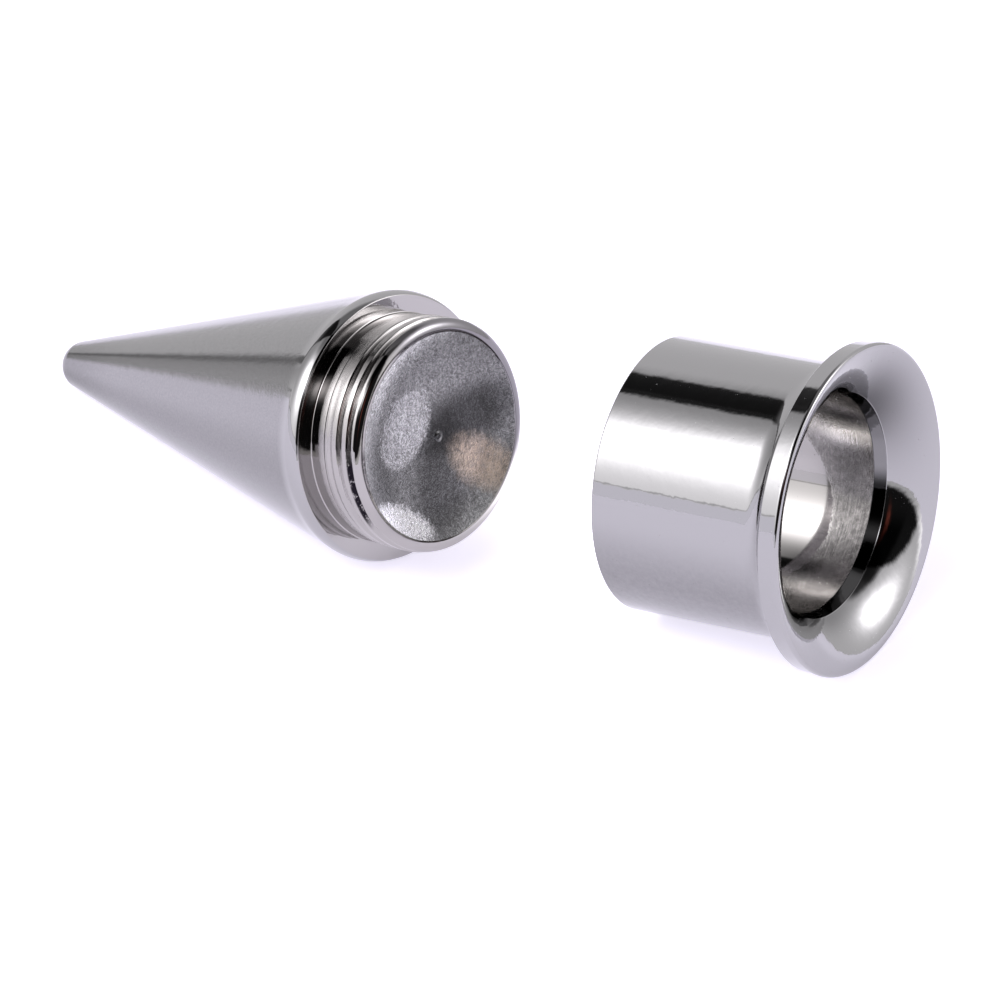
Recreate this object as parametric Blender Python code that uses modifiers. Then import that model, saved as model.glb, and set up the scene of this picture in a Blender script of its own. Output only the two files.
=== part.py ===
"""Ear stretching taper and the flared tunnel that screws onto it, unscrewed and lying side by side.

Metres, +Z up. The surface that both pieces lie on is Z = 0, and the origin is the middle of the
pair on that surface. +X runs along the tunnel towards its flare. Each piece is turned about its
own Z axis first, with its own +X side lowest, and is then laid down.
"""

import math

import bmesh
import bpy

MM = 0.001

# The pair
GAUGE_RADIUS = 6.0 * MM  # a 12 mm stretching: the tunnel's tube and the taper's widest ring
SIDES = 64  # of every turned face, a multiple of four so that one corner lies lowest

# Taper: its own Z = 0 is the widest ring, and +Z points at the thread
TAPER_POINT_LENGTH = 20.8 * MM  # from the tip to the widest ring
TIP_RADIUS = 1.14 * MM
RIM_ROUNDING = 0.9 * MM
SHOULDER_HEIGHT = 0.48 * MM
NECK_RADIUS = 5.05 * MM
NECK_FILLET = 0.12 * MM  # reaches past the crests, so that the shoulder lies open to a flat end
NECK_TOP = 1.3 * MM
LAND_FOOT_RADIUS = 5.1 * MM  # the land between neck and thread widens from here to the crests
LAND_TOP = 1.95 * MM
STUB_ROUND_START = 3.0 * MM
STUB_TOP = 3.34 * MM
DISH_RADIUS = 4.64 * MM
DISH_MIDDLE_DEPTH = 0.18 * MM
DISH_TROUGH_DEPTH = 0.28 * MM
DISH_TROUGH = 0.62  # where the dish is deepest, as a share of its radius
NIPPLE_RADIUS = 0.2 * MM
NIPPLE_HEIGHT = 0.07 * MM

# Thread, right-handed, with the same pitch and flanks on both pieces
PITCH = 0.6 * MM
CREST_RADIUS = 5.15 * MM
THREAD_DEPTH = 0.2 * MM
FLANK_ANGLE = math.radians(30)
ROOT_FLAT = 0.1 * MM
GROOVE_START = 1.87 * MM  # the male groove's height on the lowest side
GROOVE_LEAD = 26  # how many sides before the lowest side the male groove starts
GROOVE_RUN_IN = 58  # sides over which it sinks in to its full depth
THREAD_CLEARANCE = 0.08 * MM
CUT_OVERRUN = 0.05 * MM  # how far a thread cutter stands clear of the face it cuts
CREASE_ANGLE = math.radians(25)  # edges sharper than this stay crisp

# Tunnel: its own Z = 0 is the back end, and +Z points at the flare
TUNNEL_LENGTH = 9.7 * MM
COUNTERBORE_RADIUS = 5.27 * MM
COUNTERBORE_DEPTH = 0.85 * MM
FEMALE_THREAD_END = 2.8 * MM
THROAT_RADIUS = 4.72 * MM
THROAT_BACK = 7.7 * MM
THROAT_FRONT = 8.3 * MM
THROAT_FRONT_RADIUS = 4.88 * MM
FLARE_START = 7.5 * MM
BELL_SLOPE = math.radians(39)  # of the mouth's bell where it meets the throat
LIP_RADIUS = 7.2 * MM
LIP_BACK_RADIUS = 7.15 * MM
LIP_BACK = 8.79 * MM
LIP_ROUNDING = 0.16 * MM
EDGE_BREAK = 0.12 * MM

# How finely the round stretches of the profiles are divided
DISH_STEPS = 7
STUB_ROUND_STEPS = 4
FILLET_STEPS = 2
LIP_STEPS = 3
TAPER_ROUND_STEPS = 7
FLARE_STEPS = 8
BELL_STEPS = 7

# Where the pieces lie
TAPER_PLACE = (-1.503 * MM, -2.054 * MM)  # the middle of its widest ring
TAPER_YAW = math.radians(-11.17)
TUNNEL_PLACE = (10.827 * MM, 0.756 * MM)  # the middle of its back end


def arc(middle_r, middle_z, radius, start, end, steps):
    """Points of a round stretch of a profile, with angles in degrees from the outward direction."""
    points = []
    for step in range(steps + 1):
        angle = math.radians(start + (end - start) * step / steps)
        points.append((middle_r + radius * math.cos(angle), middle_z + radius * math.sin(angle)))
    return points


def taper_half_angle():
    """Half angle of the cone whose straight side touches both the rounded rim and the round tip."""
    rim_r = GAUGE_RADIUS - RIM_ROUNDING
    tip_z = -TAPER_POINT_LENGTH + TIP_RADIUS
    apart = math.hypot(rim_r, tip_z)
    return math.atan2(rim_r, -tip_z) + math.asin((RIM_ROUNDING - TIP_RADIUS) / apart)


def taper_side_radius():
    """Radius, at the height of the widest ring, of the straight cone that the taper lies on."""
    return GAUGE_RADIUS - RIM_ROUNDING + RIM_ROUNDING / math.cos(taper_half_angle())


def dish_depth(share):
    """Depth of the dish below its rim: a low dome inside a round trough, by share of the radius."""
    if share < DISH_TROUGH:
        fall = math.sin(math.pi / 2 * share / DISH_TROUGH) ** 2
        return DISH_MIDDLE_DEPTH + (DISH_TROUGH_DEPTH - DISH_MIDDLE_DEPTH) * fall
    return DISH_TROUGH_DEPTH * (1 - ((share - DISH_TROUGH) / (1 - DISH_TROUGH)) ** 2)


def taper_profile():
    """The taper's half section, from the middle of its dish down its outer side to the tip."""
    half_angle = math.degrees(taper_half_angle())
    rim_r = GAUGE_RADIUS - RIM_ROUNDING
    tip_z = -TAPER_POINT_LENGTH + TIP_RADIUS
    rim_top = math.degrees(math.asin(SHOULDER_HEIGHT / RIM_ROUNDING))

    profile = [(0.0, STUB_TOP - DISH_MIDDLE_DEPTH + NIPPLE_HEIGHT)]
    foot = NIPPLE_RADIUS / DISH_RADIUS
    for step in range(DISH_STEPS):
        share = foot + (1 - foot) * step / DISH_STEPS
        profile.append((DISH_RADIUS * share, STUB_TOP - dish_depth(share)))
    for step in range(STUB_ROUND_STEPS + 1):
        angle = math.pi / 2 * (1 - step / STUB_ROUND_STEPS)
        r = DISH_RADIUS + (CREST_RADIUS - DISH_RADIUS) * math.cos(angle)
        z = STUB_ROUND_START + (STUB_TOP - STUB_ROUND_START) * math.sin(angle)
        profile.append((r, z))
    profile += [(CREST_RADIUS, LAND_TOP)]
    profile += [(LAND_FOOT_RADIUS, NECK_TOP + LAND_FOOT_RADIUS - NECK_RADIUS)]
    profile += [(NECK_RADIUS, NECK_TOP)]
    fillet_r = NECK_RADIUS + NECK_FILLET
    fillet_z = SHOULDER_HEIGHT + NECK_FILLET
    profile += arc(fillet_r, fillet_z, NECK_FILLET, 180, 270, FILLET_STEPS)
    profile += arc(rim_r, 0.0, RIM_ROUNDING, rim_top, -half_angle, TAPER_ROUND_STEPS)
    profile += arc(0.0, tip_z, TIP_RADIUS, -half_angle, -90, TAPER_ROUND_STEPS)[:-1]
    profile += [(0.0, tip_z - TIP_RADIUS)]
    return profile


def bell_profile(lip_r, lip_z):
    """The mouth's bell, an arc from the throat that is tangent to the lip's rounding."""
    across = lip_r - THROAT_FRONT_RADIUS
    along = lip_z - THROAT_FRONT
    slope_r = math.cos(BELL_SLOPE)
    slope_z = math.sin(BELL_SLOPE)
    radius = (across**2 + along**2 - LIP_ROUNDING**2) / (
        2 * (across * slope_r - along * slope_z - LIP_ROUNDING)
    )
    middle_r = THROAT_FRONT_RADIUS + radius * slope_r
    middle_z = THROAT_FRONT - radius * slope_z
    start = 180 - math.degrees(BELL_SLOPE)
    end = math.degrees(math.atan2(lip_z - middle_z, lip_r - middle_r))
    return arc(middle_r, middle_z, radius, start, end, BELL_STEPS), end


def tunnel_profile():
    """The tunnel's half section, down its outer side from the lip, then up its bore."""
    flare_height = LIP_BACK - FLARE_START
    flare_rise = LIP_BACK_RADIUS - GAUGE_RADIUS
    flare = (flare_height**2 + flare_rise**2) / (2 * flare_rise)
    flare_top = 180 - math.degrees(math.asin(flare_height / flare))
    bore = CREST_RADIUS - THREAD_DEPTH + THREAD_CLEARANCE
    lip_r = LIP_RADIUS - LIP_ROUNDING
    lip_z = TUNNEL_LENGTH - LIP_ROUNDING
    bell, bell_end = bell_profile(lip_r, lip_z)

    profile = arc(lip_r, lip_z, LIP_ROUNDING, bell_end, 0, LIP_STEPS)
    profile += arc(GAUGE_RADIUS + flare, FLARE_START, flare, flare_top, 180, FLARE_STEPS)
    profile += [(GAUGE_RADIUS, EDGE_BREAK), (GAUGE_RADIUS - EDGE_BREAK, 0.0)]
    profile += [(COUNTERBORE_RADIUS, 0.0), (COUNTERBORE_RADIUS, COUNTERBORE_DEPTH)]
    profile += [(bore, COUNTERBORE_DEPTH + COUNTERBORE_RADIUS - bore), (bore, THROAT_BACK)]
    profile += [(THROAT_RADIUS, THROAT_BACK)]
    profile += bell[:-1]
    return profile


def new_collection(name):
    collection = bpy.data.collections.new(name)
    bpy.context.scene.collection.children.link(collection)
    return collection


def steel(name, roughness):
    """Bright stainless steel."""
    material = bpy.data.materials.new(name)
    material.use_nodes = True
    shader = material.node_tree.nodes["Principled BSDF"]
    shader.inputs["Base Color"].default_value = (0.70, 0.69, 0.68, 1.0)
    shader.inputs["Metallic"].default_value = 1.0
    shader.inputs["Roughness"].default_value = roughness
    return material


def turned(name, profile, closed, material, collection):
    """A solid of revolution about its own Z from a half section of (radius, height) points."""
    mesh = bpy.data.meshes.new(name)
    edges = [(i, i + 1) for i in range(len(profile) - 1)]
    if closed:
        edges.append((len(profile) - 1, 0))
    mesh.from_pydata([(r, 0.0, z) for r, z in profile], edges, [])
    mesh.materials.append(material)
    piece = bpy.data.objects.new(name, mesh)
    collection.objects.link(piece)
    screw = piece.modifiers.new("Turn", "SCREW")
    screw.axis = "Z"
    screw.steps = SIDES
    screw.render_steps = SIDES
    screw.use_merge_vertices = True
    screw.merge_threshold = 1e-6
    screw.use_smooth_shade = True
    return piece


def thread_cutter(name, sections, collection):
    """A helical bar that follows (turn, height, surface radius, root radius) sections.

    Its width grows from ROOT_FLAT at the root to the flanks' width at the surface radius.
    """
    shape = bmesh.new()
    loops = []
    flat = ROOT_FLAT / 2
    for turns, z, surface, root in sections:
        turn = math.tau * turns
        wide = flat + abs(surface - root) * math.tan(FLANK_ANGLE)
        corners = [(root, -flat), (root, flat), (surface, wide), (surface, -wide)]
        loops.append(
            [
                shape.verts.new((r * math.cos(turn), r * math.sin(turn), z + dz))
                for r, dz in corners
            ]
        )
    for before, after in zip(loops, loops[1:]):
        for i in range(4):
            j = (i + 1) % 4
            shape.faces.new((before[i], before[j], after[j], after[i]))
    shape.faces.new(loops[0])
    shape.faces.new(loops[-1])
    bmesh.ops.recalc_face_normals(shape, faces=shape.faces)
    mesh = bpy.data.meshes.new(name)
    shape.to_mesh(mesh)
    shape.free()
    cutter = bpy.data.objects.new(name, mesh)
    collection.objects.link(cutter)
    cutter.hide_render = True
    cutter.display_type = "WIRE"
    return cutter


def male_groove():
    """Sections of the taper's groove: it sinks in slowly and leaves through the stub's round end."""
    surface = CREST_RADIUS + CUT_OVERRUN
    last = round((STUB_TOP + PITCH / 2 - GROOVE_START) / PITCH * SIDES)
    sections = []
    for side in range(-GROOVE_LEAD, last + 1):
        depth = THREAD_DEPTH * min(1.0, (side + GROOVE_LEAD) / GROOVE_RUN_IN)
        turns = (side + 0.5) / SIDES
        z = GROOVE_START + PITCH * turns
        sections.append((turns, z, surface, surface - CUT_OVERRUN / 2 - depth))
    return sections


def female_groove():
    """Sections of the tunnel's groove: from inside the counterbore to a run-out of half a turn."""
    minor = CREST_RADIUS - THREAD_DEPTH + THREAD_CLEARANCE
    surface = minor - CUT_OVERRUN
    start = COUNTERBORE_DEPTH - PITCH / 2
    last = round((FEMALE_THREAD_END - start) / PITCH * SIDES)
    sections = []
    for side in range(last + 1):
        depth = THREAD_DEPTH * min(1.0, 2 * (last - side) / SIDES)
        turns = (side + 0.5) / SIDES
        sections.append((turns, start + PITCH * turns, surface, minor - CUT_OVERRUN / 2 + depth))
    return sections


def cut_thread(piece, cutter):
    """Cuts the groove with the cutter that the piece carries, then keeps the turned edges crisp."""
    cutter.parent = piece
    boolean = piece.modifiers.new("Thread", "BOOLEAN")
    boolean.operation = "DIFFERENCE"
    boolean.object = cutter
    boolean.solver = "EXACT"
    bpy.context.view_layer.update()
    graph = bpy.context.evaluated_depsgraph_get()
    mesh = bpy.data.meshes.new_from_object(piece.evaluated_get(graph))
    mesh.name = piece.name
    piece.modifiers.clear()
    piece.data = mesh
    mesh.shade_smooth()
    mesh.set_sharp_from_angle(angle=CREASE_ANGLE)


def lay_down(piece, place, side_radius, side_angle, yaw):
    """Lies the piece on its straight side, which leans by side_angle from its own axis."""
    piece.rotation_euler = (0.0, math.pi / 2 - side_angle, yaw)
    piece.location = (place[0], place[1], side_radius * math.cos(side_angle))


def build_taper(parts, cutters):
    taper = turned("taper", taper_profile(), False, steel("taper_steel", 0.12), parts)
    cut_thread(taper, thread_cutter("taper_groove", male_groove(), cutters))
    lay_down(taper, TAPER_PLACE, taper_side_radius(), taper_half_angle(), TAPER_YAW)


def build_tunnel(parts, cutters):
    tunnel = turned("tunnel", tunnel_profile(), True, steel("tunnel_steel", 0.1), parts)
    cut_thread(tunnel, thread_cutter("tunnel_groove", female_groove(), cutters))
    lean = math.atan2(LIP_BACK_RADIUS - GAUGE_RADIUS, LIP_BACK - EDGE_BREAK)
    side_radius = GAUGE_RADIUS - EDGE_BREAK * math.tan(lean)
    lay_down(tunnel, TUNNEL_PLACE, side_radius, lean, 0.0)


def main():
    for old in list(bpy.data.objects):
        bpy.data.objects.remove(old, do_unlink=True)
    parts = new_collection("ear_stretching_taper")
    cutters = new_collection("cutters")
    build_taper(parts, cutters)
    build_tunnel(parts, cutters)


main()
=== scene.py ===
"""Looks of the ear stretching taper and its screw-on tunnel: polished steel on a pale table.

Both solids of the frame are replaced by finely turned meshes of the same sizes, so that the
mirror polish shows no facets. Lengths are in metres, +Z up. The materials work in millimetres.
"""

import math

import bpy
import numpy as np
from mathutils import Euler, Matrix, Vector


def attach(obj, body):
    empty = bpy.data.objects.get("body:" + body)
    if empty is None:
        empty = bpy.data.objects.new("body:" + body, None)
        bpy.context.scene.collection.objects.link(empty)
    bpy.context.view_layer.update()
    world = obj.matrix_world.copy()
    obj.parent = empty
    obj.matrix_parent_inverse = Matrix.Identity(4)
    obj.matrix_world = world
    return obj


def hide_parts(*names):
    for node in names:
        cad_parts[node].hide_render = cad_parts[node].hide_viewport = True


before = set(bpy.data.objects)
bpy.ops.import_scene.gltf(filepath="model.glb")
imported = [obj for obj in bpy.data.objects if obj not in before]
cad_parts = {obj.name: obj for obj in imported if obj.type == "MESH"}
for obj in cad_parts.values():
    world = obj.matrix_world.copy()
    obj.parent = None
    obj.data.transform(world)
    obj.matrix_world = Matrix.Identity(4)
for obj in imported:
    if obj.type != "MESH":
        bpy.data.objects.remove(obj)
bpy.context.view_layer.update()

MM = 0.001
PER_MM = 1 / MM
DEGREES = 180 / math.pi

# Both pieces
GAUGE_RADIUS = 6.0 * MM
CREST_RADIUS = 5.15 * MM
THREAD_DEPTH = 0.2 * MM
THREAD_CLEARANCE = 0.08 * MM
PITCH = 0.6 * MM

# Taper: its own Z = 0 is the widest ring, and +Z points at the thread
TAPER_POINT_LENGTH = 20.8 * MM
TIP_RADIUS = 1.14 * MM
TIP_MIDDLE = -TAPER_POINT_LENGTH + TIP_RADIUS
RIM_ROUNDING = 0.9 * MM
RIM_MIDDLE_RADIUS = GAUGE_RADIUS - RIM_ROUNDING
SHOULDER_HEIGHT = 0.48 * MM
SHOULDER_EDGE_ROUNDING = 0.05 * MM
SHOULDER_EDGE_END = 34
SHOULDER_EDGE_SPARE = 0.01 * MM
NECK_RADIUS = 5.05 * MM
NECK_FILLET = 0.06 * MM
NECK_TOP = 1.3 * MM
NECK_STEP_SPARE = 0.02 * MM
NECK_STEP_ROUNDING = 0.03 * MM
LAND_FOOT_RADIUS = 5.1 * MM
LAND_TOP = 1.95 * MM
LAND_TOP_ROUNDING = 0.2 * MM
STUB_ROUND_START = 3.0 * MM
STUB_TOP = 3.34 * MM
DISH_RADIUS = 4.64 * MM
DISH_MIDDLE_DEPTH = 0.18 * MM
DISH_TROUGH_DEPTH = 0.28 * MM
DISH_TROUGH = 0.62
DISH_RIM_ROUNDING = 0.1 * MM
PIP_RADIUS = 0.2 * MM
PIP_HEIGHT = 0.07 * MM

# Tunnel: its own Z = 0 is the back end, and +Z points at the flare
TUNNEL_LENGTH = 9.7 * MM
COUNTERBORE_RADIUS = 5.27 * MM
COUNTERBORE_DEPTH = 0.85 * MM
COUNTERBORE_EDGE_ROUNDING = 0.08 * MM
COUNTERBORE_CORNER_ROUNDING = 0.05 * MM
BORE_RADIUS = CREST_RADIUS - THREAD_DEPTH + THREAD_CLEARANCE
BORE_START = COUNTERBORE_DEPTH + COUNTERBORE_RADIUS - BORE_RADIUS
BORE_END_ROUNDING = 0.08 * MM
THROAT_RADIUS = 4.72 * MM
THROAT_BACK = 7.7 * MM
THROAT_FRONT = 8.3 * MM
THROAT_FRONT_RADIUS = 4.88 * MM
THROAT_EDGE_ROUNDING = 0.04 * MM
BELL_SLOPE = math.radians(39)
FLARE_START = 7.5 * MM
LIP_RADIUS = 7.2 * MM
LIP_BACK_RADIUS = 7.15 * MM
LIP_BACK = 8.79 * MM
LIP_BACK_ROUNDING = 0.05 * MM
LIP_ROUNDING = 0.16 * MM
BACK_EDGE_ROUNDING = 0.06 * MM

# Thread grooves: the turns at which they start and end, and over which they sink in and run out
GROOVE_HALF_WIDTH = 0.175 * MM
GROOVE_FULLNESS = 1.6
STUB_GROOVE_START = 1.87 * MM
STUB_GROOVE_LOW = NECK_TOP + 0.12 * MM
STUB_GROOVE_TURNS = (-0.4, 9)
STUB_GROOVE_FADES = (0.9, 1)
BORE_GROOVE_END = 2.8 * MM
BORE_GROOVE_TURNS = (-2, (BORE_GROOVE_END - BORE_START) / PITCH)
BORE_GROOVE_FADES = (0.5, 0.5)

# Fineness of the meshes
SIDES = 288
CORNER_STEPS = 5
SHOULDER_EDGE_STEPS = 6
LIP_STEPS = 12
ROUND_END_STEPS = 16
RIM_STEPS = 24
FLARE_STEPS = 32
DISH_STEPS = 60
DISH_CROWDING = 1.3
LONGEST_STRETCH = 1.0 * MM
STEPS_NEAR_ENDS = (0.02 * MM, 0.07 * MM, 0.2 * MM)
ROWS_STEEPNESS = 9
STUB_THREAD_ROW = 0.02 * MM
BORE_THREAD_ROW = 0.03 * MM
ROUND_FACE_TOLERANCE = 0.06 * MM
MERGE_DISTANCE = 1e-6

# Where the pieces lie
TAPER_PLACE = (-1.503 * MM, -2.054 * MM)
TAPER_YAW = math.radians(-11.17)
TUNNEL_PLACE = (10.827 * MM, 0.756 * MM)

# The camera. The light tent is set square to it.
VIEW_AZIMUTH = math.radians(31.58)
VIEW_ELEVATION = math.radians(32.227)
VIEW_DISTANCE = 259.5 * MM
VIEW_MIDDLE = Vector((5.176 * MM, -3.496 * MM, 5.0 * MM))
LENS = 216.9
SENSOR_WIDTH = 36.0


# Turned shapes


def between(start, end, share):
    return start[0] + (end[0] - start[0]) * share, start[1] + (end[1] - start[1]) * share


def arc(middle_r, middle_z, radius, start, end, steps):
    """Points of a round stretch of a profile, with angles in degrees from the outward direction."""
    points = []
    for step in range(steps + 1):
        angle = math.radians(start + (end - start) * step / steps)
        points.append((middle_r + radius * math.cos(angle), middle_z + radius * math.sin(angle)))
    return points


def corner(before, at, after, rounding):
    """Points of an arc of the rounding's radius that replaces the corner at."""
    at = Vector(at)
    one = (Vector(before) - at).normalized()
    two = (Vector(after) - at).normalized()
    half = one.angle(two) / 2
    reach = rounding / math.tan(half)
    middle = at + (one + two).normalized() * rounding / math.sin(half)
    start = at + one * reach - middle
    end = at + two * reach - middle
    turn = math.pi - 2 * half
    points = []
    for step in range(CORNER_STEPS + 1):
        share = step / CORNER_STEPS
        spoke = start * math.sin((1 - share) * turn) + end * math.sin(share * turn)
        points.append(tuple(middle + spoke / math.sin(turn)))
    return points


def rounded(corners):
    """A profile through (r, z, rounding) corners, each rounded where its rounding is above zero."""
    points = []
    for i, (r, z, rounding) in enumerate(corners):
        if rounding:
            points += corner(corners[i - 1][:2], (r, z), corners[i + 1][:2], rounding)
        else:
            points.append((r, z))
    return points


def graded(profile):
    """The profile with each long straight stretch divided finely near its ends, and then evenly."""
    points = [profile[0]]
    for start, end in zip(profile, profile[1:]):
        length = math.dist(start, end)
        places = [place for place in STEPS_NEAR_ENDS if place < length / 2.5]
        places += [length - place for place in places]
        if length > 2 * LONGEST_STRETCH:
            count = round(length / LONGEST_STRETCH)
            places += [length * i / count for i in range(1, count)]
        points += [between(start, end, place / length) for place in sorted(places) + [length]]
    return points


def in_rows(profile, low, high, row):
    """The profile with its upright stretches between two heights divided into rows."""
    points = [profile[0]]
    for start, end in zip(profile, profile[1:]):
        rise = abs(end[1] - start[1])
        upright = abs(end[0] - start[0]) < rise / ROWS_STEEPNESS
        inside = min(start[1], end[1]) < high and max(start[1], end[1]) > low
        rows = max(1, round(rise / row)) if upright and inside else 1
        points += [between(start, end, i / rows) for i in range(1, rows + 1)]
    return points


def taper_half_angle():
    apart = math.hypot(RIM_MIDDLE_RADIUS, TIP_MIDDLE)
    lean = math.asin((RIM_ROUNDING - TIP_RADIUS) / apart)
    return math.atan2(RIM_MIDDLE_RADIUS, -TIP_MIDDLE) + lean


def dish_depth(share):
    """Depth of the dish below its rim: a low dome inside a round trough, by share of the radius."""
    if share < DISH_TROUGH:
        fall = math.sin(math.pi / 2 * share / DISH_TROUGH) ** 2
        return DISH_MIDDLE_DEPTH + (DISH_TROUGH_DEPTH - DISH_MIDDLE_DEPTH) * fall
    return DISH_TROUGH_DEPTH * (1 - ((share - DISH_TROUGH) / (1 - DISH_TROUGH)) ** 2)


def dish_profile():
    """The dished end face from the middle out, with its points closer together at the centre pip."""
    points = []
    for step in range(DISH_STEPS + 1):
        share = (step / DISH_STEPS) ** DISH_CROWDING
        pip = PIP_HEIGHT * math.exp(-((share * DISH_RADIUS / PIP_RADIUS) ** 4))
        points.append((DISH_RADIUS * share, STUB_TOP - dish_depth(share) + pip))
    return points


def round_end_profile():
    """The quarter ellipse from the dish's rim down to the thread's crests."""
    points = []
    for step in range(ROUND_END_STEPS + 1):
        angle = math.pi / 2 * (1 - step / ROUND_END_STEPS)
        r = DISH_RADIUS + (CREST_RADIUS - DISH_RADIUS) * math.cos(angle)
        z = STUB_ROUND_START + (STUB_TOP - STUB_ROUND_START) * math.sin(angle)
        points.append((r, z))
    return points


def taper_profile():
    """The taper's half section, from the middle of its dish down its outer side to the tip."""
    dish = dish_profile()
    round_end = round_end_profile()
    dish_rim = corner(dish[-2], dish[-1], round_end[1], DISH_RIM_ROUNDING)
    profile = [point for point in dish if point[0] < dish_rim[0][0]] + dish_rim
    profile += [point for point in round_end if point[0] > dish_rim[-1][0]]

    shoulder_angle = math.asin(SHOULDER_HEIGHT / RIM_ROUNDING)
    shoulder_radius = RIM_MIDDLE_RADIUS + RIM_ROUNDING * math.cos(shoulder_angle)
    land_foot = NECK_TOP + LAND_FOOT_RADIUS - NECK_RADIUS + NECK_STEP_SPARE
    profile += rounded(
        [
            (CREST_RADIUS, STUB_ROUND_START, 0),
            (CREST_RADIUS, LAND_TOP, LAND_TOP_ROUNDING),
            (LAND_FOOT_RADIUS, land_foot, NECK_STEP_ROUNDING),
            (NECK_RADIUS, NECK_TOP - NECK_STEP_SPARE, NECK_STEP_ROUNDING),
            (NECK_RADIUS, SHOULDER_HEIGHT, NECK_FILLET),
            (shoulder_radius, SHOULDER_HEIGHT, 0),
        ]
    )[1:-1]

    half_angle = math.degrees(taper_half_angle())
    edge = SHOULDER_EDGE_ROUNDING
    edge_r = shoulder_radius - edge
    edge_z = SHOULDER_HEIGHT - edge
    rim_start = math.degrees(math.asin((edge_z - SHOULDER_EDGE_SPARE) / RIM_ROUNDING))
    profile += arc(edge_r, edge_z, edge, 90, SHOULDER_EDGE_END, SHOULDER_EDGE_STEPS)
    profile += arc(RIM_MIDDLE_RADIUS, 0.0, RIM_ROUNDING, rim_start, -half_angle, RIM_STEPS)
    profile += arc(0.0, TIP_MIDDLE, TIP_RADIUS, -half_angle, -90, RIM_STEPS)[:-1]
    profile += [(0.0, TIP_MIDDLE - TIP_RADIUS)]
    return graded(profile)


def flare_arc():
    """Middle, radius and last angle of the round fillet between the tube and the lip's back."""
    height = LIP_BACK - FLARE_START
    rise = LIP_BACK_RADIUS - GAUGE_RADIUS
    radius = (height**2 + rise**2) / (2 * rise)
    return GAUGE_RADIUS + radius, radius, 180 - math.degrees(math.asin(height / radius))


def bell_arc():
    """Middle, radius and first and last angles of the mouth's bell, tangent to the lip's round."""
    across = LIP_RADIUS - LIP_ROUNDING - THROAT_FRONT_RADIUS
    along = TUNNEL_LENGTH - LIP_ROUNDING - THROAT_FRONT
    slope_r = math.cos(BELL_SLOPE)
    slope_z = math.sin(BELL_SLOPE)
    radius = (across**2 + along**2 - LIP_ROUNDING**2) / (
        2 * (across * slope_r - along * slope_z - LIP_ROUNDING)
    )
    middle_r = THROAT_FRONT_RADIUS + radius * slope_r
    middle_z = THROAT_FRONT - radius * slope_z
    lip_slope = math.atan2(along + radius * slope_z, radius * slope_r - across)
    return middle_r, middle_z, radius, 180 - math.degrees(BELL_SLOPE), 180 - math.degrees(lip_slope)


def tunnel_profile():
    """The tunnel's half section, down its outer side from the lip, then up its bore."""
    flare_r, flare_radius, flare_top = flare_arc()
    flare = arc(flare_r, FLARE_START, flare_radius, flare_top, 180, FLARE_STEPS)
    bell_r, bell_z, bell_radius, throat_end, lip_end = bell_arc()
    bell = arc(bell_r, bell_z, bell_radius, throat_end, lip_end, FLARE_STEPS)

    lip_r = LIP_RADIUS - LIP_ROUNDING
    lip_z = TUNNEL_LENGTH - LIP_ROUNDING
    profile = arc(lip_r, lip_z, LIP_ROUNDING, lip_end, 0, LIP_STEPS)
    profile += corner(profile[-1], (LIP_BACK_RADIUS, LIP_BACK), flare[1], LIP_BACK_ROUNDING)
    profile += flare[2:]
    profile += rounded(
        [
            (GAUGE_RADIUS, FLARE_START, 0),
            (GAUGE_RADIUS, 0.0, BACK_EDGE_ROUNDING),
            (COUNTERBORE_RADIUS, 0.0, COUNTERBORE_EDGE_ROUNDING),
            (COUNTERBORE_RADIUS, COUNTERBORE_DEPTH, COUNTERBORE_CORNER_ROUNDING),
            (BORE_RADIUS, BORE_START, COUNTERBORE_CORNER_ROUNDING),
            (BORE_RADIUS, THROAT_BACK, BORE_END_ROUNDING),
            (THROAT_RADIUS, THROAT_BACK, THROAT_EDGE_ROUNDING),
            (THROAT_FRONT_RADIUS, THROAT_FRONT, 0),
        ]
    )[1:-1]
    profile += corner((THROAT_RADIUS, THROAT_BACK), bell[0], bell[1], THROAT_EDGE_ROUNDING)
    profile += bell[1:-1]
    return graded(profile)


def turned(name, profile, closed):
    """A solid of revolution about its own Z from a half section of (radius, height) points."""
    sheet = bpy.data.meshes.new(name + "_section")
    edges = [(i, i + 1) for i in range(len(profile) - 1)]
    if closed:
        edges.append((len(profile) - 1, 0))
    sheet.from_pydata([(r, 0.0, z) for r, z in profile], edges, [])
    section = bpy.data.objects.new(name + "_section", sheet)
    bpy.context.scene.collection.objects.link(section)
    screw = section.modifiers.new("Turn", "SCREW")
    screw.steps = SIDES
    screw.render_steps = SIDES
    screw.use_merge_vertices = True
    screw.merge_threshold = MERGE_DISTANCE
    screw.use_smooth_shade = True
    bpy.context.view_layer.update()
    graph = bpy.context.evaluated_depsgraph_get()
    mesh = bpy.data.meshes.new_from_object(section.evaluated_get(graph))
    mesh.name = name
    bpy.data.objects.remove(section, do_unlink=True)
    piece = bpy.data.objects.new(name, mesh)
    bpy.context.scene.collection.objects.link(piece)
    return piece


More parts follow.
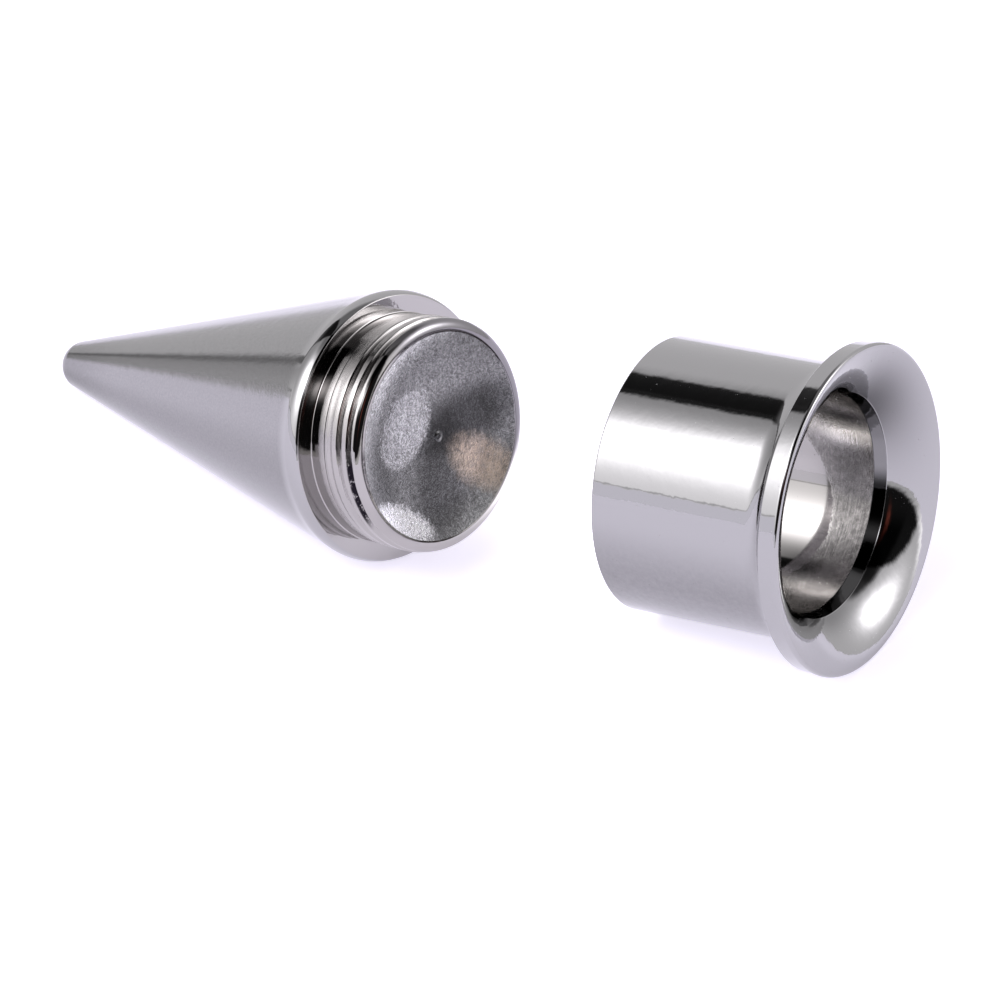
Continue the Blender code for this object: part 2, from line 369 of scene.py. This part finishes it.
def cut_groove(mesh, zone, first, turns, fades, depth):
    """Cuts a helical groove into the round face between the zone's (radius, low, high) limits.

    first is the groove's height at the mesh's +X side, turns its start and end in turns, and
    fades the turns over which it sinks in and runs out. A depth below zero cuts inwards.
    """
    places = np.empty(len(mesh.vertices) * 3)
    mesh.vertices.foreach_get("co", places)
    points = places.reshape(-1, 3)
    x, y, z = points.T
    r = np.hypot(x, y)
    radius, low, high = zone
    on_face = (np.abs(r - radius) < ROUND_FACE_TOLERANCE) & (z > low) & (z < high)
    around = np.mod(np.arctan2(y, x), math.tau) / math.tau
    along = np.round((z - first) / PITCH - around) + around
    off = np.abs(z - first - PITCH * along)
    fade = np.clip((along - turns[0]) / fades[0], 0, 1)
    fade = fade * np.clip((turns[1] - along) / fades[1], 0, 1)
    shape = 1 - (1 - np.clip(1 - off / GROOVE_HALF_WIDTH, 0, 1)) ** GROOVE_FULLNESS
    sink = np.where(on_face, depth * fade * shape, 0.0)
    scale = 1 + sink / np.maximum(r, 1e-9)
    points[:, 0] *= scale
    points[:, 1] *= scale
    mesh.vertices.foreach_set("co", points.ravel())
    mesh.update()


class Lie:
    """How a turned piece lies on its side: the turns of its own Z, and where its own zero is."""

    def __init__(self, place, side_radius, side_angle, yaw):
        self.turns = Euler((0.0, math.pi / 2 - side_angle, yaw))
        self.start = Vector((place[0], place[1], side_radius * math.cos(side_angle)))
        self.axis = Vector((0.0, 0.0, 1.0))
        self.axis.rotate(self.turns)

    def lay_down(self, piece):
        piece.data.transform(Matrix.LocRotScale(self.start, self.turns, None))


TAPER_SIDE_RADIUS = RIM_MIDDLE_RADIUS + RIM_ROUNDING / math.cos(taper_half_angle())
TUNNEL_LEAN = math.atan2(LIP_BACK_RADIUS - GAUGE_RADIUS, LIP_BACK)
TAPER_LIE = Lie(TAPER_PLACE, TAPER_SIDE_RADIUS, taper_half_angle(), TAPER_YAW)
TUNNEL_LIE = Lie(TUNNEL_PLACE, GAUGE_RADIUS, TUNNEL_LEAN, 0.0)


def build_taper():
    profile = in_rows(taper_profile(), NECK_TOP, STUB_ROUND_START, STUB_THREAD_ROW)
    taper = turned("taper_turned", profile, closed=False)
    zone = (CREST_RADIUS, STUB_GROOVE_LOW, STUB_TOP)
    turns = STUB_GROOVE_TURNS
    cut_groove(taper.data, zone, STUB_GROOVE_START, turns, STUB_GROOVE_FADES, -THREAD_DEPTH)
    TAPER_LIE.lay_down(taper)
    return taper


def build_tunnel():
    profile = in_rows(tunnel_profile(), BORE_START, BORE_GROOVE_END, BORE_THREAD_ROW)
    tunnel = turned("tunnel_turned", profile, closed=True)
    zone = (BORE_RADIUS, BORE_START, BORE_GROOVE_END)
    turns = BORE_GROOVE_TURNS
    cut_groove(tunnel.data, zone, BORE_START, turns, BORE_GROOVE_FADES, THREAD_DEPTH)
    TUNNEL_LIE.lay_down(tunnel)
    return tunnel


# Shader maths


class Number:
    """A number's socket. Python's operators on it add Math nodes."""

    def __init__(self, tree, socket):
        self.tree = tree
        self.socket = socket

    def math(self, operation, *others):
        return self.tree.math(operation, self, *others)

    def __add__(self, other):
        return self.math("ADD", other)

    __radd__ = __add__

    def __sub__(self, other):
        return self.math("SUBTRACT", other)

    def __rsub__(self, other):
        return self.tree.math("SUBTRACT", other, self)

    def __mul__(self, other):
        return self.math("MULTIPLY", other)

    __rmul__ = __mul__

    def __truediv__(self, other):
        return self.math("DIVIDE", other)

    def __rtruediv__(self, other):
        return self.tree.math("DIVIDE", other, self)

    def __pow__(self, other):
        return self.math("POWER", other)

    def __rpow__(self, other):
        return self.tree.math("POWER", other, self)

    def absolute(self):
        return self.math("ABSOLUTE")

    def clamp(self):
        return self.tree.math("MULTIPLY", self, 1.0, clamped=True)

    def ramp(self, low, high):
        """From 0 where the number is at low, smoothly to 1 where it is at high."""
        return self.tree.node(
            "ShaderNodeMapRange",
            {"interpolation_type": "SMOOTHSTEP"},
            {"Value": self, "From Min": low, "From Max": high, "To Min": 0.0, "To Max": 1.0},
        )["Result"]


class Made:
    """A node whose outputs are read by name or place."""

    def __init__(self, tree, node):
        self.tree = tree
        self.raw = node

    def __getitem__(self, key):
        return Number(self.tree, self.raw.outputs[key])


# Places of the Mix node's factor, colours and result, because their names aren't unique
MIX_SHARE, MIX_FIRST, MIX_SECOND, MIX_RESULT = 0, 6, 7, 2


class Tree:
    """The nodes of one material or world."""

    def __init__(self, owner):
        owner.use_nodes = True
        self.nodes = owner.node_tree.nodes
        self.links = owner.node_tree.links
        self.nodes.clear()

    def node(self, kind, settings=None, inputs=()):
        """Adds a node: its settings first, then its inputs as a list by place or a dict by name."""
        made = self.nodes.new(kind)
        for name, value in (settings or {}).items():
            setattr(made, name, value)
        pairs = inputs.items() if isinstance(inputs, dict) else enumerate(inputs)
        for key, value in pairs:
            if isinstance(value, Number):
                self.links.new(value.socket, made.inputs[key])
            else:
                made.inputs[key].default_value = value
        return Made(self, made)

    def math(self, operation, *values, clamped=False):
        settings = {"operation": operation, "use_clamp": clamped}
        return self.node("ShaderNodeMath", settings, values)[0]

    def vector_math(self, operation, *values):
        return self.node("ShaderNodeVectorMath", {"operation": operation}, values)[0]

    def vector(self, x, y, z):
        return self.node("ShaderNodeCombineXYZ", None, [x, y, z])[0]

    def parts(self, vector):
        """The x, y and z of a vector."""
        made = self.node("ShaderNodeSeparateXYZ", None, [vector])
        return made[0], made[1], made[2]

    def noise(self, place, scale, detail, roughness=0.5):
        return self.node(
            "ShaderNodeTexNoise",
            None,
            {"Vector": place, "Scale": scale, "Detail": detail, "Roughness": roughness},
        )["Fac"]

    def mix_colour(self, share, first, second):
        inputs = {MIX_SHARE: share, MIX_FIRST: first, MIX_SECOND: second}
        return self.node("ShaderNodeMix", {"data_type": "RGBA"}, inputs)[MIX_RESULT]

    def bump(self, height):
        """The normal of a relief whose height is in millimetres."""
        return self.node("ShaderNodeBump", None, {"Height": height, "Distance": MM})["Normal"]

    def lean(self, normal, axis, amount):
        """The normal tilted along the axis by an amount, as a slope."""
        tilt = self.node(
            "ShaderNodeVectorMath", {"operation": "SCALE"}, {"Vector": axis, "Scale": amount}
        )[0]
        return self.vector_math("NORMALIZE", self.vector_math("ADD", normal, tilt))

    def material_output(self, shader):
        self.node("ShaderNodeOutputMaterial", None, {"Surface": shader})


def direction(x, y):
    """The direction of (x, y) in degrees, from +X towards +Y."""
    return y.math("ARCTAN2", x) * DEGREES


def glow(across, along, middle, spread):
    """A soft round spot: 1 in its middle, falling off over the spread, both (across, along)."""
    off_across = (across - middle[0]) / spread[0]
    off_along = (along - middle[1]) / spread[1]
    return (0.0 - (off_across * off_across + off_along * off_along)).math("EXPONENT")


def with_glows(number, across, along, glows):
    """The number with soft spots added to it: rows of middle, spread and strength."""
    for middle, spread, strength in glows:
        number = number + glow(across, along, middle, spread) * strength
    return number


def with_shades(number, across, along, shades):
    """The number made smaller in soft spots: rows of middle, spread and the share taken away."""
    for middle, spread, share in shades:
        number = number * (1.0 - glow(across, along, middle, spread) * share)
    return number


# Steel

STEEL_GREY = 0.375
STEEL_WARM = (0.415, 0.375, 0.345, 1.0)
# Painted shade on the round end's upper far side
ROUND_END_PAINTED_SHADE = (0.12, 0.115, 0.14, 1.0)
# Painted shadow in the last groove
THREAD_GROOVE_SHADE = (0.012, 0.010, 0.014, 1.0)
# Dish colours: its grey, and the painted pale, bright and warm reflections on it
DISH_GREY = 0.26
DISH_PALE_REFLECTION = 0.5
DISH_BRIGHT_REFLECTION = 0.75
DISH_WARM_REFLECTION = (0.60, 0.48, 0.38, 1.0)
BORE_GREY = 0.37

# Roughness of the mirror polish, and what the other finishes add to it
MIRROR = 0.05
DULL_DISH = 0.21
CUT_STUB = 0.03
BRUSHED_CONE = 0.05
BRUSHED_BORE = 0.04
BORE_SPECKS = 0.5

# Turning marks, in radians of their wave per millimetre along the axis
TURNING_MARKS = 209.0

# Painted reflections and painted shades on the dish, as patches: middle and half sizes in mm as (y,
# x), turn in degrees, softness of the edge
PALE_REFLECTION_PATCH = ((-1.75, -1.0), (1.85, 1.25), -42.0, 0.2)
WARM_REFLECTION_PATCH = ((2.35, 2.25), (2.0, 1.0), 42.0, 0.95)
BRIGHT_REFLECTION_PATCH = ((-2.9, 2.9), (1.7, 0.62), 40.0, 0.8)
DARK_BAND_SHADE = ((1.7, -0.2), (3.2, 1.2), 4.0, 0.9)
DARK_FOOT_SHADE = ((-0.2, 2.0), (1.5, 2.5), 20.0, 0.9)

# How far the painted shadow lies from the groove's middle, in turns
GROOVE_SHADE_OFFSET = 0.15

# Rough part of the bore: where it starts in mm at its middle turn, and how many degrees away from
# there it starts 1 mm lower
ROUGH_BORE_START = 5.9
ROUGH_BORE_MIDDLE = 48.0
ROUGH_BORE_SPREAD = 33.0

# Painted highlights and painted shades in the bore, and painted shades on the bell: middle and
# spread as (turn, mm), and strength
BORE_GLINT_STREAKS = (
    ((11.0, 6.5), (5.0, 1.1), 1.2),
    ((95.0, 6.7), (4.5, 1.3), 1.2),
)
BORE_SHADES = (
    ((23.0, 5.2), (8.0, 1.2), 0.7),
    ((77.0, 6.4), (11.0, 1.3), 0.45),
    ((108.0, 6.6), (3.5, 1.2), 0.7),
)
UPPER_BELL_SHADE = ((-45.0, 4.6), (42.0, 1.7), 0.75)
LOWER_BELL_SHADE = ((-18.0, 4.9), (38.0, 0.55), 0.45)


class OwnPlace:
    """Where a point of a turned piece is on the piece itself, in millimetres and degrees.

    z runs along the piece's axis and r out from it. x points down at the table, y to the far
    side, and the turn goes from x towards y.
    """

    def __init__(self, tree, lie):
        place = tree.node("ShaderNodeTexCoord")["Object"]
        turned_back = tree.node(
            "ShaderNodeVectorRotate",
            {"rotation_type": "EULER_XYZ", "invert": True},
            {"Vector": tree.vector_math("SUBTRACT", place, lie.start), "Rotation": lie.turns},
        )[0]
        self.tree = tree
        self.x, self.y, self.z = [part * PER_MM for part in tree.parts(turned_back)]
        self.r = (self.x * self.x + self.y * self.y) ** 0.5
        self.turn = direction(self.x, self.y)
        self.point = tree.vector(self.x, self.y, self.z)

    def noise(self, scale, detail, roughness=0.5):
        return self.tree.noise(self.point, scale, detail, roughness)

    def turned_lines(self, around, along):
        """Noise drawn out round the axis, with its scales around the piece and along it."""
        x = self.x / self.r * around
        y = self.y / self.r * around
        return self.tree.noise(self.tree.vector(x, y, self.z * along), 1.0, 4.0, 0.7)

    def turning_waves(self):
        return (self.z * TURNING_MARKS).math("SINE")


def steel(tree, colour, roughness, normal):
    return tree.node(
        "ShaderNodeBsdfPrincipled",
        None,
        {
            "Base Color": colour,
            "Metallic": 1.0,
            "Roughness": roughness,
            "Normal": normal,
        },
    )[0]


def shaded_steel(tree, shade):
    """The steel's cool grey, darkened by a share of painted shade."""
    grey = (1.0 - shade) * STEEL_GREY
    return tree.vector(grey, grey * 0.992, grey)


def patch(x, y, middle, half, turn, softness):
    """A soft oval: 1 inside, 0 outside."""
    cosine = math.cos(math.radians(turn))
    sine = math.sin(math.radians(turn))
    off_y = y - middle[0]
    off_x = x - middle[1]
    along = (off_y * cosine + off_x * sine) / half[0]
    across = (off_x * cosine - off_y * sine) / half[1]
    return (along * along + across * across).ramp(1.0 + softness, 1.0 - softness)


def dish_colour(tree, own, grain, mottle, speckle):
    """The dull dish: mottled grey, with painted reflections and painted shade as patches."""
    ragged_x = own.x + (mottle - 0.5) * 1.1
    ragged_y = own.y + (grain - 0.5) * 0.9
    pale, warm, bright, dark_band_shade, dark_foot_shade = [
        patch(ragged_x, ragged_y, *row)
        for row in (PALE_REFLECTION_PATCH, WARM_REFLECTION_PATCH, BRIGHT_REFLECTION_PATCH, DARK_BAND_SHADE, DARK_FOOT_SHADE)
    ]
    glitter = speckle.ramp(0.38, 0.62) * 0.6
    # Painted light and shade: lighter towards the top, darker in the dark patches and on the near
    # side
    tone = DISH_GREY + ragged_x.ramp(-0.6, -1.6) * 0.08
    tone = tone * (1.0 - dark_band_shade * 0.6) * (1.0 - dark_foot_shade * 0.55)
    tone = tone * (1.0 - own.y.ramp(-2.4, -4.0) * 0.4)
    # Painted pale, bright and warm reflections, over random mottle with glitter specks
    tone = tone * (1.0 - pale) + pale * DISH_PALE_REFLECTION
    tone = tone * (0.5 + mottle.ramp(0.34, 0.66) * 0.45 + glitter)
    tone = (tone * (1.0 - bright) + bright * (DISH_BRIGHT_REFLECTION + glitter)).clamp()
    warm_reflection_share = (warm * (mottle * 1.6 - 0.15)).clamp()
    return tree.mix_colour(warm_reflection_share, tree.vector(tone, tone, tone * 1.02), DISH_WARM_REFLECTION)


def thread_groove_shade(own, mottle):
    """Painted shadow of the last crest, in the last groove on its near side."""
    groove = (own.z - STUB_GROOVE_START * PER_MM) / (PITCH * PER_MM) - own.turn / 360.0
    line = groove + GROOVE_SHADE_OFFSET
    off_line = (line - line.math("ROUND")).absolute()
    near_side = (own.y * -1.0 - own.x * 0.2).ramp(3.8, 4.4) * own.x.ramp(-1.6, -0.6)
    last_groove = own.z.ramp(2.55, 2.65)
    return off_line.ramp(0.20, 0.10) * near_side * mottle.ramp(0.38, 0.44) * last_groove


def taper_steel():
    """Lightly brushed cone, polished shoulder, cut stub with turning marks, and a dull dish."""
    material = bpy.data.materials.new("taper_steel_finish")
    tree = Tree(material)
    own = OwnPlace(tree, TAPER_LIE)
    z = own.z
    grain = own.noise(6.0, 4.0, 0.75)
    mottle = own.noise(3.2, 4.0, 0.85)
    speckle = own.noise(11.0, 2.0, 0.8)
    waves = own.noise(1.6, 2.0)
    lines = own.turned_lines(1.0, 40.0)

    dish = own.r.ramp(4.62, 4.56) * z.ramp(2.0, 2.1)
    around_dish = 1.0 - dish
    turned_end = z.ramp(0.44, 0.5) * around_dish
    cut_stub = turned_end * z.ramp(0.6, 1.45) * z.ramp(3.15, 3.0)
    cone = z.ramp(-0.2, -0.9)

    height = dish * grain * 0.013 + around_dish * waves * 0.004 + cone * grain * 0.003
    ripple = (own.turning_waves() + 1.0) * (0.12 + lines * 0.14)
    normal = tree.lean(tree.bump(height), TAPER_LIE.axis, ripple * cut_stub)
    roughness = MIRROR + dish * DULL_DISH + cut_stub * CUT_STUB + cone * BRUSHED_CONE

    # Painted shade on the cone: darker on its low side and towards the point, over a darker grey
    # with random specks
    low_side_shade = own.turn.ramp(-114.0, -86.0) * 0.15
    point = z.ramp(-15.0, -20.0) * 0.15
    cone_shade = cone * (0.2 + low_side_shade + point + (speckle - 0.5) * 0.3)
    # Painted shade on the upper far side of the round end
    upper_far_side = ((own.y * 0.8 - own.x * 0.6) / own.r).ramp(0.1, 0.45)
    round_end = z.ramp(3.02, 3.08) * upper_far_side * around_dish
    # Painted shadow in the last groove, on its near side
    groove_shade = thread_groove_shade(own, mottle) * around_dish
    colour = tree.mix_colour(turned_end * 0.3, shaded_steel(tree, cone_shade), STEEL_WARM)
    colour = tree.mix_colour(round_end * 0.6, colour, ROUND_END_PAINTED_SHADE)
    colour = tree.mix_colour(groove_shade, colour, THREAD_GROOVE_SHADE)
    colour = tree.mix_colour(dish, colour, dish_colour(tree, own, grain, mottle, speckle))
    tree.material_output(steel(tree, colour, roughness, normal))
    return material


def bore_colour(tree, own, scratches):
    """The bore's warm grey, scratched, with painted highlight streaks and painted shade near the
    throat.
    """
    tone = with_glows(BORE_GREY + scratches, own.turn, own.z, BORE_GLINT_STREAKS)
    tone = with_shades(tone, own.turn, own.z, BORE_SHADES).clamp()
    return tree.vector(tone, tone * 0.97, tone * 0.94)


def bell_shade(own, mottle):
    """Painted shade: dark round the throat, fading out over the bell, with a clear-cut tail at the
    far side.
    """
    r, z, turn = own.r, own.z, own.turn
    turn_from_top = direction(own.x * -1.0, own.y * -1.0)
    tail_edge = 4.98 + (turn - 8.0) * 0.013 + (mottle - 0.5) * 0.1
    tail = (tail_edge - r).ramp(-0.10, 0.10) * turn.ramp(2.0, 14.0) * turn.ramp(64.0, 50.0)
    left = with_shades(1.0 - tail * 0.85, turn_from_top, r, [UPPER_BELL_SHADE])
    left = with_shades(left, turn, r, [LOWER_BELL_SHADE])
    bell = z.ramp(8.3, 8.34) * r.ramp(6.0, 5.9) + z.ramp(8.8, 8.9) * r.ramp(5.9, 6.0)
    return bell * (1.0 - left)


def tube_shade(own, mottle):
    """Painted shade: darker along the tube's low side and on the back of its flare."""
    tube = own.r.ramp(5.9, 5.95) * own.z.ramp(8.8, 7.4)
    low_side_shade = own.turn.ramp(-100.0, -68.0) * own.turn.ramp(10.0, -10.0)
    flare = own.r.ramp(6.02, 6.2) * own.z.ramp(8.8, 8.6)
    return tube * low_side_shade * (0.26 + (mottle - 0.5) * 0.3) + flare * 0.18


def tunnel_steel():
    """Mirror polish outside and in the mouth, and a bore left rough near the throat."""
    material = bpy.data.materials.new("tunnel_steel_finish")
    tree = Tree(material)
    own = OwnPlace(tree, TUNNEL_LIE)
    r, z, turn = own.r, own.z, own.turn
    waves = own.noise(1.6, 2.0)
    mottle = own.noise(3.4, 4.0, 0.8)
    specks = own.noise(9.0, 1.0).ramp(0.76, 0.80)
    lines = own.turned_lines(2.0, 30.0)

    bore = r.ramp(5.4, 5.3) * z.ramp(7.75, 7.65)
    rough_from = ROUGH_BORE_START - ((turn - ROUGH_BORE_MIDDLE) / ROUGH_BORE_SPREAD) ** 2.0
    rough_bore = bore * (z + (mottle - 0.5) * 0.5 - rough_from).ramp(-0.1, 0.15)
    # Painted shade on the throat, darker still from about 30 to 72 degrees of turn
    throat = z.ramp(7.7, 7.74) * z.ramp(8.3, 8.26) * r.ramp(5.0, 4.95)
    throat_shade = throat * (0.5 + turn.ramp(20.0, 30.0) * turn.ramp(84.0, 72.0) * 0.46)

    height = (1.0 - bore) * waves * 0.005 + rough_bore * mottle * 0.008
    ripple = own.turning_waves() * 0.16 + (lines - 0.5) * 0.35
    normal = tree.lean(tree.bump(height), TUNNEL_LIE.axis, ripple * rough_bore + throat * 0.2)
    roughness = MIRROR + rough_bore * BRUSHED_BORE + specks * BORE_SPECKS

    scratches = ((mottle - 0.5) * 0.7 + (lines - 0.5) * 0.8) * rough_bore
    # The painted shade of the bell, the throat and the tube darkens the steel's grey
    shade = (bell_shade(own, mottle) + throat_shade + tube_shade(own, mottle)).clamp()
    colour = tree.mix_colour(bore, shaded_steel(tree, shade), bore_colour(tree, own, scratches))
    tree.material_output(steel(tree, colour, roughness, normal))
    return material


# Studio

TABLE_HALF = 3.0
TABLE_FADE = (75.0 * MM, 150.0 * MM)
TABLE_NEAR = (0.80, 0.78, 0.87, 1.0)
# Painted shade of the table far behind
TABLE_FAR_SHADE = (0.45, 0.445, 0.46, 1.0)
TABLE_GLOW = (0.60, 0.58, 0.655, 1.0)
# A painted pool of light on the table between the pieces
POOL_GLOW = (4.0, 3.9, 4.1, 1.0)
POOL_MIDDLE = (7.0, 6.0)
POOL_SPREAD = (4.0, 3.5)

SWEEP_WHITE = (1.27, 1.24, 1.38, 1.0)
RED_STREAK = (0.50, 0.125, 0.085, 1.0)

# The tent, in degrees: azimuth is 0 straight behind the pair and rises to the right
LEFT_SIDE = (-44.0, -50.0)
RIGHT_SIDE = (88.0, 104.0)
BACK_CORNER = -45.0
OPENING_MIDDLE = -20.5
RED_STREAK_MIDDLE = (161.0, 29.0)
RED_STREAK_SPREAD = (2.2, 9.0)

# Light on the walls and lamps: middle and spread as (azimuth, elevation), and strength
WALL_GLOWS = (
    ((-118.0, 15.0), (45.0, 60.0), 1.1),
    ((-66.0, 0.0), (12.0, 8.0), 0.5),
)
SIDE_LAMPS = (
    ((-114.0, 45.0), (24.0, 16.0), 5.4),
    ((86.5, 24.0), (12.0, 9.5), 5.2),
    ((86.5, 24.0), (24.0, 17.0), 0.8),
    ((106.0, 0.5), (11.0, 2.4), 1.4),
)
FRONT_LAMPS = (
    ((170.0, 46.5), (7.0, 7.0), 2.2),
    ((-156.0, 51.0), (30.0, 8.0), 3.0),
)


def table_white():
    """Pale and lightly glowing, with a painted pool of light between the pieces, and painted shade
    far behind.
    """
    material = bpy.data.materials.new("table_white")
    tree = Tree(material)
    x, y, _ = tree.parts(tree.node("ShaderNodeTexCoord")["Object"])
    pool = glow(x * PER_MM, y * PER_MM, POOL_MIDDLE, POOL_SPREAD)
    # Painted shade: greyer far behind the pair
    far = (y * math.cos(VIEW_AZIMUTH) - x * math.sin(VIEW_AZIMUTH)).ramp(*TABLE_FADE)
    near_glow = tree.mix_colour(pool, TABLE_GLOW, POOL_GLOW)
    shader = tree.node(
        "ShaderNodeBsdfPrincipled",
        None,
        {
            "Base Color": tree.mix_colour(far, TABLE_NEAR, TABLE_FAR_SHADE),
            "Roughness": 0.9,
            "Specular IOR Level": 0.0,
            "Emission Color": tree.mix_colour(far, near_glow, TABLE_FAR_SHADE),
            "Emission Strength": 1.0,
        },
    )[0]
    tree.material_output(shader)
    return material


def add_table():
    """A table top wide enough to fill every view from above."""
    mesh = bpy.data.meshes.new("table_top")
    corners = [(-1, -1), (1, -1), (1, 1), (-1, 1)]
    places = [(x * TABLE_HALF, y * TABLE_HALF, 0.0) for x, y in corners]
    mesh.from_pydata(places, [], [(0, 1, 2, 3)])
    mesh.materials.append(table_white())
    table = bpy.data.objects.new("table_top", mesh)
    bpy.context.scene.collection.objects.link(table)


def tent_light(azimuth, from_front, elevation, left_side):
    """Grey back, bright side walls, side and front lamps, dark back corner and open front."""
    right_side = azimuth.ramp(*RIGHT_SIDE)
    ceiling_foot = 38.0 + left_side * 14.0
    ceiling = elevation.ramp(ceiling_foot, ceiling_foot + 16.0 - right_side * 8.0)
    walls = with_glows(0.9 - left_side * 0.42, azimuth, elevation, WALL_GLOWS)
    light = walls * (1.0 - ceiling) + ceiling * (0.3 - right_side * 0.2)
    light = with_glows(light, azimuth, elevation, SIDE_LAMPS)

    high = elevation.ramp(22.0, 50.0)
    off_corner = (azimuth - BACK_CORNER - high * 7.0).absolute()
    corner_shade = off_corner.ramp(2.6 + high * 15.0, 1.2 + high * 11.0) * (0.75 + high * 0.2)
    off_opening = (from_front - OPENING_MIDDLE).absolute()
    opening = off_opening.ramp(48.0, 42.0) * elevation.ramp(1.5, 5.0)
    light = light * (1.0 - corner_shade) * (1.0 - opening * 0.985)
    return with_glows(light, azimuth, elevation, FRONT_LAMPS)


def studio_light():
    """The light tent round the pair, with the table's sheet rising into it at the left."""
    world = bpy.data.worlds.new("studio")
    bpy.context.scene.world = world
    tree = Tree(world)
    turned_back = tree.node(
        "ShaderNodeVectorRotate",
        {"rotation_type": "Z_AXIS"},
        {"Vector": tree.node("ShaderNodeTexCoord")["Generated"], "Angle": -VIEW_AZIMUTH},
    )[0]
    right, behind, up = tree.parts(turned_back)
    azimuth = direction(behind, right)
    from_front = direction(behind * -1.0, right * -1.0)
    elevation = up.math("ARCSINE") * DEGREES
    left_side = azimuth.ramp(*LEFT_SIDE)
    light = tent_light(azimuth, from_front, elevation, left_side)

    # the sheet rises in a sweep up to a thin shaded edge
    above_edge = elevation - azimuth.ramp(-64.0, -92.0) * 8.9
    sweep = left_side * above_edge.ramp(0.0, -0.4)
    sheet_edge = left_side * (above_edge - 0.5).absolute().ramp(0.7, 0.3)
    light = light * (1.0 - sheet_edge * 0.5)

    slanted = azimuth + elevation * 0.45
    red_streak = glow(slanted, elevation, RED_STREAK_MIDDLE, RED_STREAK_SPREAD)
    colour = tree.vector(light, light * 0.985, light * 1.01)
    colour = tree.mix_colour(sweep, colour, SWEEP_WHITE)
    colour = tree.mix_colour(red_streak, colour, RED_STREAK)
    background = tree.node("ShaderNodeBackground", None, {"Color": colour, "Strength": 1.0})[0]
    tree.node("ShaderNodeOutputWorld", None, {"Surface": background})


def add_camera():
    camera = bpy.data.cameras.new("camera")
    camera.lens = LENS
    camera.sensor_width = SENSOR_WIDTH
    camera.clip_start = 0.01
    camera.clip_end = 10.0
    eye = bpy.data.objects.new("camera", camera)
    back = Vector(
        (
            math.sin(VIEW_AZIMUTH) * math.cos(VIEW_ELEVATION),
            -math.cos(VIEW_AZIMUTH) * math.cos(VIEW_ELEVATION),
            math.sin(VIEW_ELEVATION),
        )
    )
    eye.location = VIEW_MIDDLE + back * VIEW_DISTANCE
    eye.rotation_mode = "QUATERNION"
    eye.rotation_quaternion = (-back).to_track_quat("-Z", "Y")
    bpy.context.scene.collection.objects.link(eye)
    bpy.context.scene.camera = eye


def dress(piece, node, material):
    piece.data.materials.clear()
    piece.data.materials.append(material)
    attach(piece, "root")
    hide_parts(node)


def main():
    bpy.context.scene.view_settings.view_transform = "Standard"
    add_camera()
    add_table()
    studio_light()
    dress(build_taper(), "taper", taper_steel())
    dress(build_tunnel(), "tunnel", tunnel_steel())


main()
